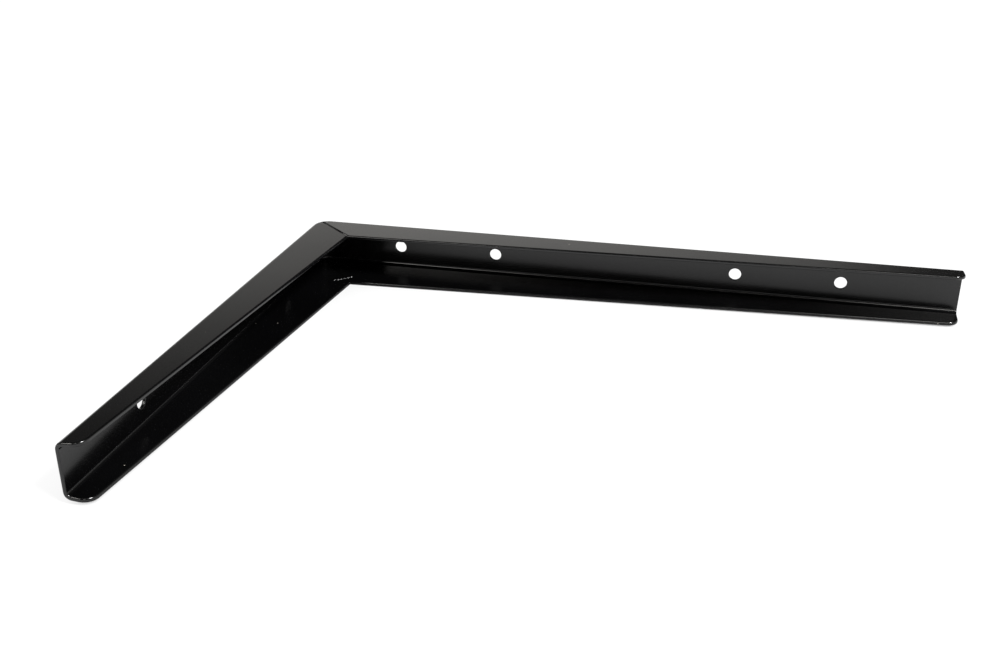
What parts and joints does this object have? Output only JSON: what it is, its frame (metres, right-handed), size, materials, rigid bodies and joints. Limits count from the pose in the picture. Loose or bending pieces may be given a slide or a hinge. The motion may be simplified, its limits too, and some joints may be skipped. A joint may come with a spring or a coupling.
{
  "type": "shelf bracket",
  "caption": "Shelf bracket: a folded steel channel bent square at the corner, its mitred flanges tapering to the tips, with plain screw holes along the backs of both arms.",
  "frame": {"origin": "Centre of the bracket's overall box, at the height of the lowest edge of the lower flange", "axes": "+X along the long arm from the outer corner to its tip, -Y along the short arm, +Z across the channel. The bracket lies on the edges of its lower flange, with the back of the long arm facing +Y and the back of the short arm facing -X."},
  "size_m": [0.305, 0.229, 0.0251],
  "materials": {
    "black_paint": "semi-gloss black paint over folded steel sheet"
  },
  "bodies": {
    "root": {"bracket": "black_paint"}
  },
  "joints": []
}
